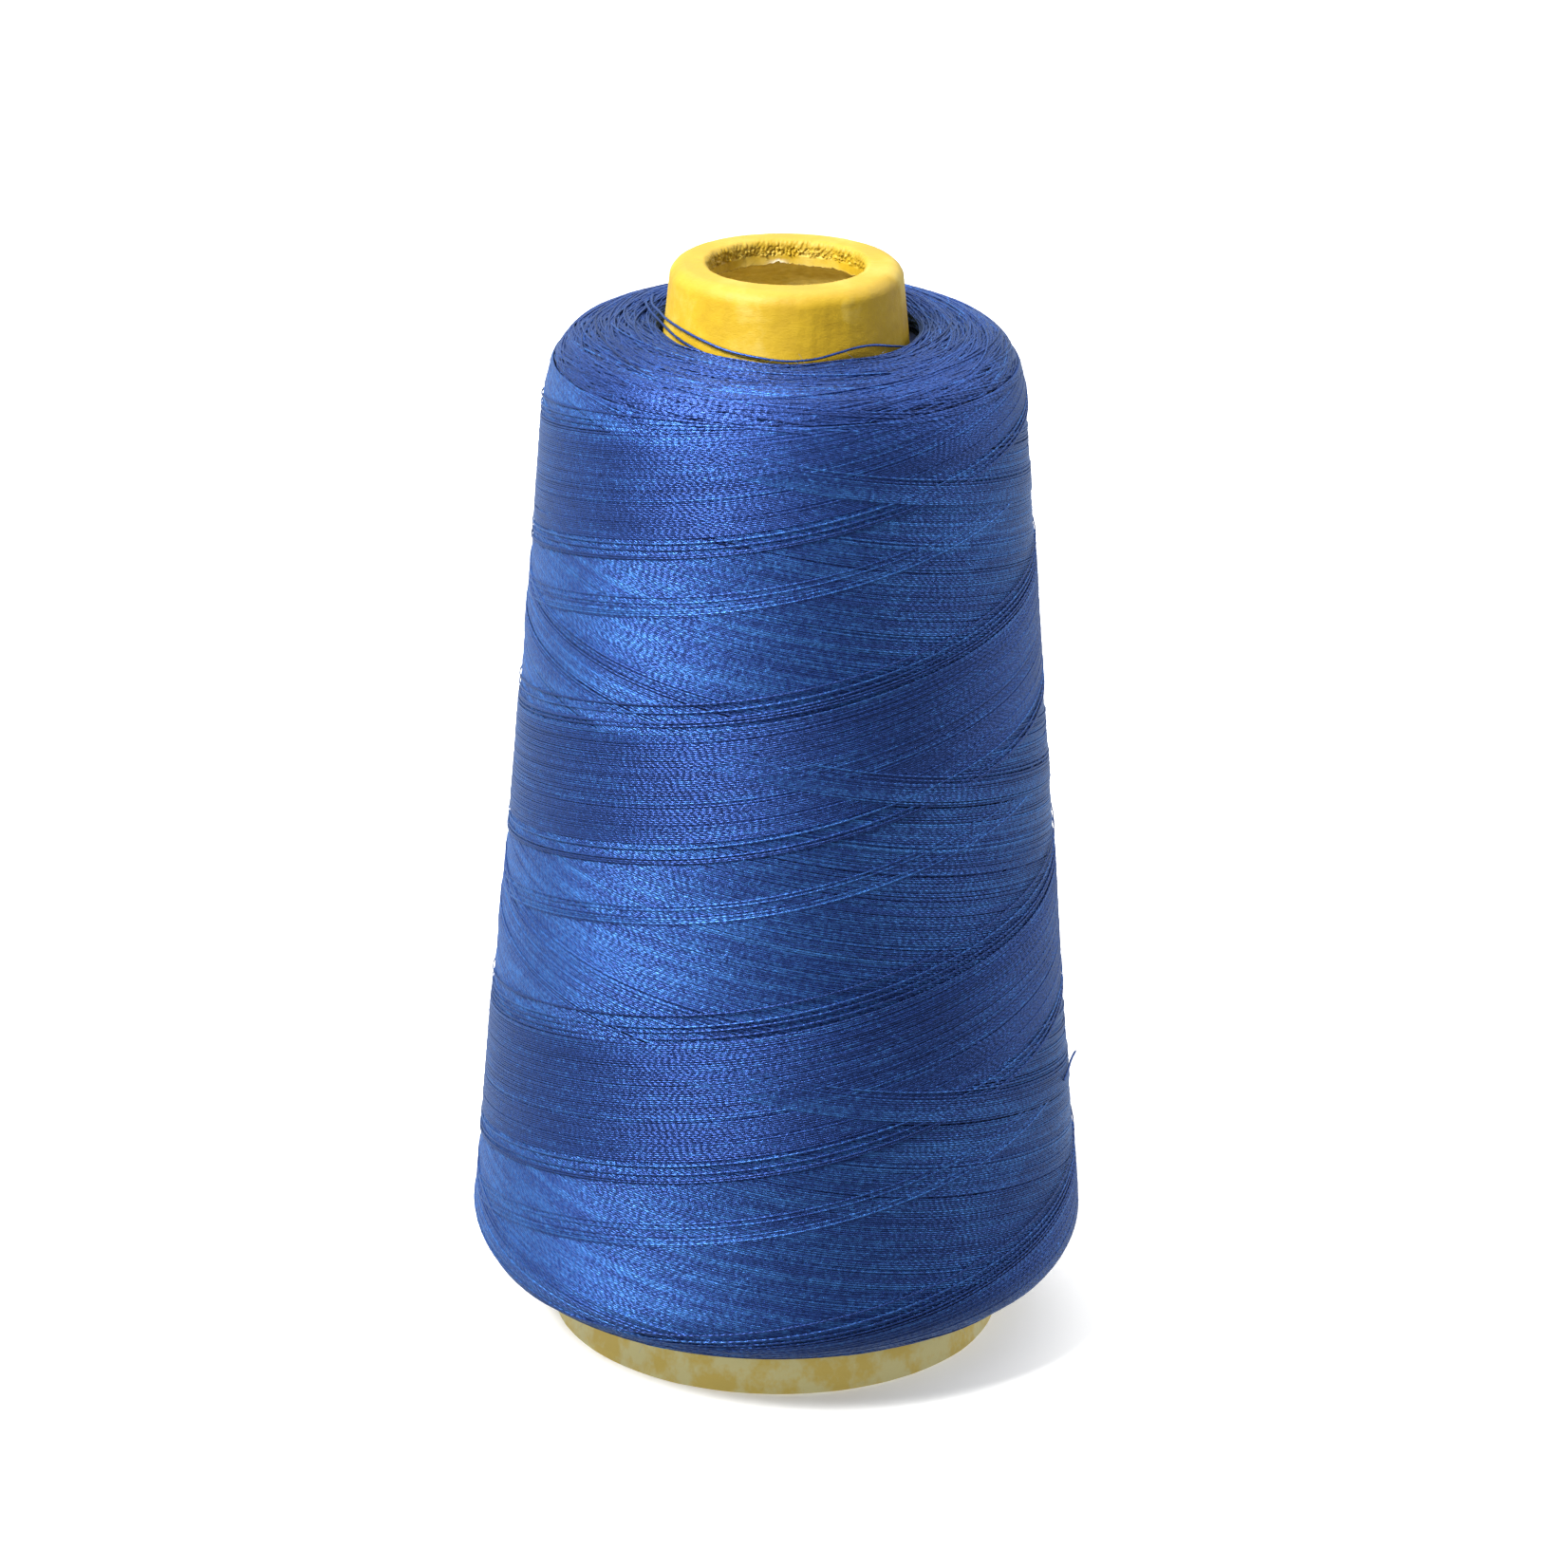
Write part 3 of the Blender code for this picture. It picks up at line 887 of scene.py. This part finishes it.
def smooth_path(keys, steps):
    """A Catmull-Rom curve through the keys, as many steps between each two."""
    keys = [Vector(key) for key in keys]
    padded = [keys[0] * 2 - keys[1]] + keys + [keys[-1] * 2 - keys[-2]]
    path = []
    for before, start, end, after in zip(padded, padded[1:], padded[2:], padded[3:]):
        for step in range(steps):
            t = step / steps
            path.append(
                (
                    start * 2
                    + (end - before) * t
                    + (before * 2 - start * 5 + end * 4 - after) * t**2
                    + (start * 3 - before - end * 3 + after) * t**3
                )
                / 2
            )
    return path + [keys[-1]]


def round_the_neck(stations):
    points = []
    for angle, standoff, height in stations:
        radius = taper_radius(height) + standoff
        turn = math.radians(angle)
        points.append((radius * math.cos(turn), radius * math.sin(turn), height))
    return points


def twisted_tube(name, path, diameter, material, tone, sides=12, plies=2):
    """A closed tube whose section is plied yarn, turning once every TWIST_LAY."""
    path = np.array([tuple(point) for point in path])
    ahead = np.gradient(path, axis=0)
    ahead /= np.linalg.norm(ahead, axis=1)[:, None]
    length = np.concatenate([[0], np.cumsum(np.linalg.norm(np.diff(path, axis=0), axis=1))])
    up = np.array([0.0, 0.0, 1.0])
    side = np.cross(ahead, up)
    side /= np.linalg.norm(side, axis=1)[:, None]
    over = np.cross(side, ahead)
    turns = np.linspace(0, TURN, sides, endpoint=False)
    ridge = 1 - 0.16 * np.abs(np.sin(plies * (turns[None, :] - TURN * length[:, None] / TWIST_LAY) / 2))
    ridge[[0, -1]] *= 0.75
    reach = (diameter / 2 * ridge)[..., None]
    around = np.cos(turns)[None, :, None] * side[:, None] + np.sin(turns)[None, :, None] * over[:, None]
    points = (path[:, None] + reach * around).reshape(-1, 3)
    rows = len(path)
    faces = ring_faces(rows, sides, False)[:, ::-1]
    centres = np.array([path[0] - ahead[0] * diameter * 0.2, path[-1] + ahead[-1] * diameter * 0.2])
    points = np.concatenate([points, centres])
    caps = []
    for index in range(0, sides, 2):
        middle, last = (index + 1) % sides, (index + 2) % sides
        caps.append([index, middle, last, rows * sides])
        base = (rows - 1) * sides
        caps.append([base + last, base + middle, base + index, rows * sides + 1])
    faces = np.concatenate([faces, np.array(caps)])
    tones = np.full(len(points), tone)
    flat = np.zeros((len(faces), 8))
    return add_piece(name, points, faces, material, {"tone": tones}, flat)


def make_neck_strand(name, node_name, stations, material, tone):
    """A loose strand round the collar's foot, a tube in place of the imported solid, which is hidden."""
    path = smooth_path(round_the_neck(stations), 14)
    piece = twisted_tube(name, path, STRAND_DIAMETER, material, tone)
    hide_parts(node_name)
    return piece


def cut_end_path():
    slope = (BOTTOM_RADIUS - TOP_RADIUS) / (SHOULDER_TOP - SHOULDER_BOTTOM)
    surface = BOTTOM_RADIUS - slope * (CUT_END_HEIGHT - SHOULDER_BOTTOM)
    path = []
    for angle, standoff in CUT_END:
        across = math.radians(angle)
        radius = surface + standoff
        height = CUT_END_HEIGHT + 0.0002 * angle / 14
        path.append((radius * math.cos(across), radius * math.sin(across), height))
    return smooth_path(path, 6)


def fibre_mesh(name, roots, directions, curls, radius, material, tone):
    """Fine stray fibres, each a closed three-sided hair that bends as it goes."""
    steps = np.linspace(0, 1, 6)
    thirds = (0, TURN / 3, 2 * TURN / 3)
    points, faces, tones = [], [], []
    for root, direction, curl in zip(roots, directions, curls):
        line = root + direction * steps[:, None] + curl * (steps**2)[:, None]
        ahead = np.gradient(line, axis=0)
        ahead /= np.linalg.norm(ahead, axis=1)[:, None]
        side = np.cross(ahead, [0.3, 0.2, 0.93])
        side /= np.linalg.norm(side, axis=1)[:, None]
        over = np.cross(ahead, side)
        start = len(points) * 3
        for place, across, up, share in zip(line, side, over, steps):
            thin = radius * (1 - 0.6 * share)
            points.append([place + thin * (math.cos(turn) * across + math.sin(turn) * up) for turn in thirds])
        for index in range(len(steps) - 1):
            base = start + index * 3
            for corner in range(3):
                after = (corner + 1) % 3
                faces.append((base + corner, base + after, base + 3 + after))
                faces.append((base + corner, base + 3 + after, base + 3 + corner))
        last = start + (len(steps) - 1) * 3
        faces.append((start, start + 2, start + 1))
        faces.append((last, last + 1, last + 2))
        tones.append(np.full(len(steps) * 3, tone))
    corner_points = np.array(points).reshape(-1, 3)
    uv = np.zeros((len(faces), 6))
    return add_piece(name, corner_points, faces, material, {"tone": np.concatenate(tones)}, uv)


def make_fuzz(material):
    """Stray fibres all over the winding, and a few more at its top."""
    rng = np.random.default_rng(29)
    share = np.concatenate([rng.uniform(0.01, 0.97, 1600), rng.uniform(0.86, 0.99, 300)])
    at = share * OUTLINE_LENGTH
    angle = rng.uniform(0, TURN, len(at))
    roots, normals = placed(angle, at, np.full(len(at), -0.1 * MM))
    tangent = np.stack([-np.sin(angle), np.cos(angle), rng.normal(0, 0.5, len(at))], -1)
    tangent *= rng.choice([-1.0, 1.0], len(at))[:, None]
    reach = rng.uniform(0.5, 1.6, len(at))[:, None] * MM
    directions = reach * (0.45 * normals + tangent)
    curls = reach * rng.normal(0, 0.35, (len(at), 3)) - 0.25 * reach * normals
    return fibre_mesh("stray_fibres", roots, directions, curls, 0.018 * MM, material, 0.85)


def make_cut_end(material):
    """The thread's cut end, its plies fraying apart."""
    path = cut_end_path()
    end = twisted_tube("cut_end", path, STRAND_DIAMETER, material, 0.45)
    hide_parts("thread_end")
    rng = np.random.default_rng(31)
    tip = np.array(tuple(path[-1]))
    forward = tip - np.array(tuple(path[-4]))
    forward /= np.linalg.norm(forward)
    count = 16
    roots = tip + rng.normal(0, 0.07 * MM, (count, 3)) - forward * 0.2 * MM
    spread = rng.normal(0, 0.35, (count, 3))
    directions = rng.uniform(0.4, 1.0, (count, 1)) * MM * (forward + spread)
    curls = rng.normal(0, 0.2, (count, 3)) * MM
    tuft = fibre_mesh("cut_end_fibres", roots, directions, curls, 0.022 * MM, material, 0.6)
    return [end, tuft]


# ---------------------------------------------------------------- studio


def area_light(name, place, target, size, power, colour):
    data = bpy.data.lights.new(name, "AREA")
    data.shape = "RECTANGLE"
    data.size, data.size_y = size
    data.energy = power
    data.color = colour
    light = bpy.data.objects.new(name, data)
    light.location = place
    light.rotation_euler = (Vector(target) - Vector(place)).to_track_quat("-Z", "Y").to_euler()
    bpy.context.scene.collection.objects.link(light)


SWEEP_RADIUS = 2.4
SWEEP_BEND = 1.2
SWEEP_HEIGHT = 4.0
SWEEP_SIDES = 96


def make_sweep():
    """The paper on the floor and up the walls, as one round sheet."""
    bend = arc((SWEEP_RADIUS, SWEEP_BEND), (SWEEP_BEND, SWEEP_BEND), -90, 0, 16)
    wall_top = (SWEEP_RADIUS + SWEEP_BEND, SWEEP_HEIGHT)
    profile = np.concatenate([[(0.002, 0.0)], bend, [wall_top]])
    angles = np.linspace(0, TURN, SWEEP_SIDES, endpoint=False)
    points = revolve(
        np.repeat(profile[:, :1], SWEEP_SIDES, 1), np.repeat(profile[:, 1:], SWEEP_SIDES, 1), angles
    )
    middle = len(points)
    points = np.concatenate([points, [(0.0, 0.0, 0.0)]])
    hub = [(side, (side + 2) % SWEEP_SIDES, side + 1, middle) for side in range(0, SWEEP_SIDES, 2)]
    faces = np.concatenate([ring_faces(len(profile), SWEEP_SIDES, False), hub])
    paper = add_piece("studio_paper", points, faces, floor_material())
    # It throws no light back at the cone; the world does that evenly instead.
    paper.visible_diffuse = False
    paper.visible_glossy = False


def make_lights():
    """A soft key light from the upper left, with weaker ones around it."""
    middle = (0, 0, 0.08)
    area_light("key", (-0.62, -0.50, 1.05), middle, (0.45, 0.45), 43.0, (1.0, 0.99, 0.97))
    area_light("front_fill", (-0.45, -1.15, 0.22), (0, 0, 0.03), (0.7, 0.5), 3.5, (1.0, 1.0, 1.0))
    area_light("overhead", (0.1, 0.85, 1.6), (0, 0.45, 0), (2.6, 1.6), 34.0, (1.0, 1.0, 1.0))
    area_light("right", (1.05, 0.30, 0.70), (0.1, 0, 0), (0.6, 0.6), 5.5, (0.98, 0.99, 1.0))
    area_light("back_left", (-1.2, 0.75, 0.5), middle, (0.4, 0.9), 2.2, (0.98, 0.99, 1.0))


def make_world():
    """The even light from all round that stands in for the room and the lit paper."""
    world = bpy.data.worlds.new("studio")
    world.use_nodes = True
    tree = world.node_tree
    background = tree.nodes["Background"]
    # Brightest below, as over a lit paper sweep, and dimmer overhead.
    direction = node(tree, "ShaderNodeSeparateXYZ")
    link(tree, tree.nodes.new("ShaderNodeTexCoord").outputs["Generated"], direction.inputs["Vector"])
    height = scaled(tree, direction.outputs["Z"], 0.5, 0.5)
    below, level, above = (0.78, 0.78, 0.78), (0.72, 0.72, 0.72), (0.32, 0.32, 0.32)
    sweep = ramp(tree, height, [(0.0, below), (0.46, level), (0.56, level), (0.72, above)])
    link(tree, sweep, background.inputs["Color"])
    # The paper stands behind the cone; the room in front of it is darker.
    link(tree, scaled(tree, direction.outputs["Y"], 0.42, 0.80), background.inputs["Strength"])
    bpy.context.scene.world = world


# ---------------------------------------------------------------- assembly


def main():
    make_camera()
    strand_look = thread_material("sewing_thread")
    loose = [
        make_neck_strand("neck_strand_a", "neck_strand_long", LONG_STRAND, strand_look, 0.36),
        make_neck_strand("neck_strand_b", "neck_strand_short", SHORT_STRAND, strand_look, 0.30),
    ]
    cover = make_cover(paper_material())
    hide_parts("cone_cover_ply")
    board = make_board(board_material())
    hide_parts("cone_board")
    core = make_core(core_material())
    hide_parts("thread_package")
    wound = [core, *make_winding(strand_look)]
    loose += make_cut_end(strand_look)
    loose.append(make_fuzz(strand_look))
    for piece in (cover, board, *wound, *loose):
        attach(piece, "root")
    make_sweep()
    make_lights()
    make_world()
    bpy.context.scene.view_settings.view_transform = "Standard"


main()
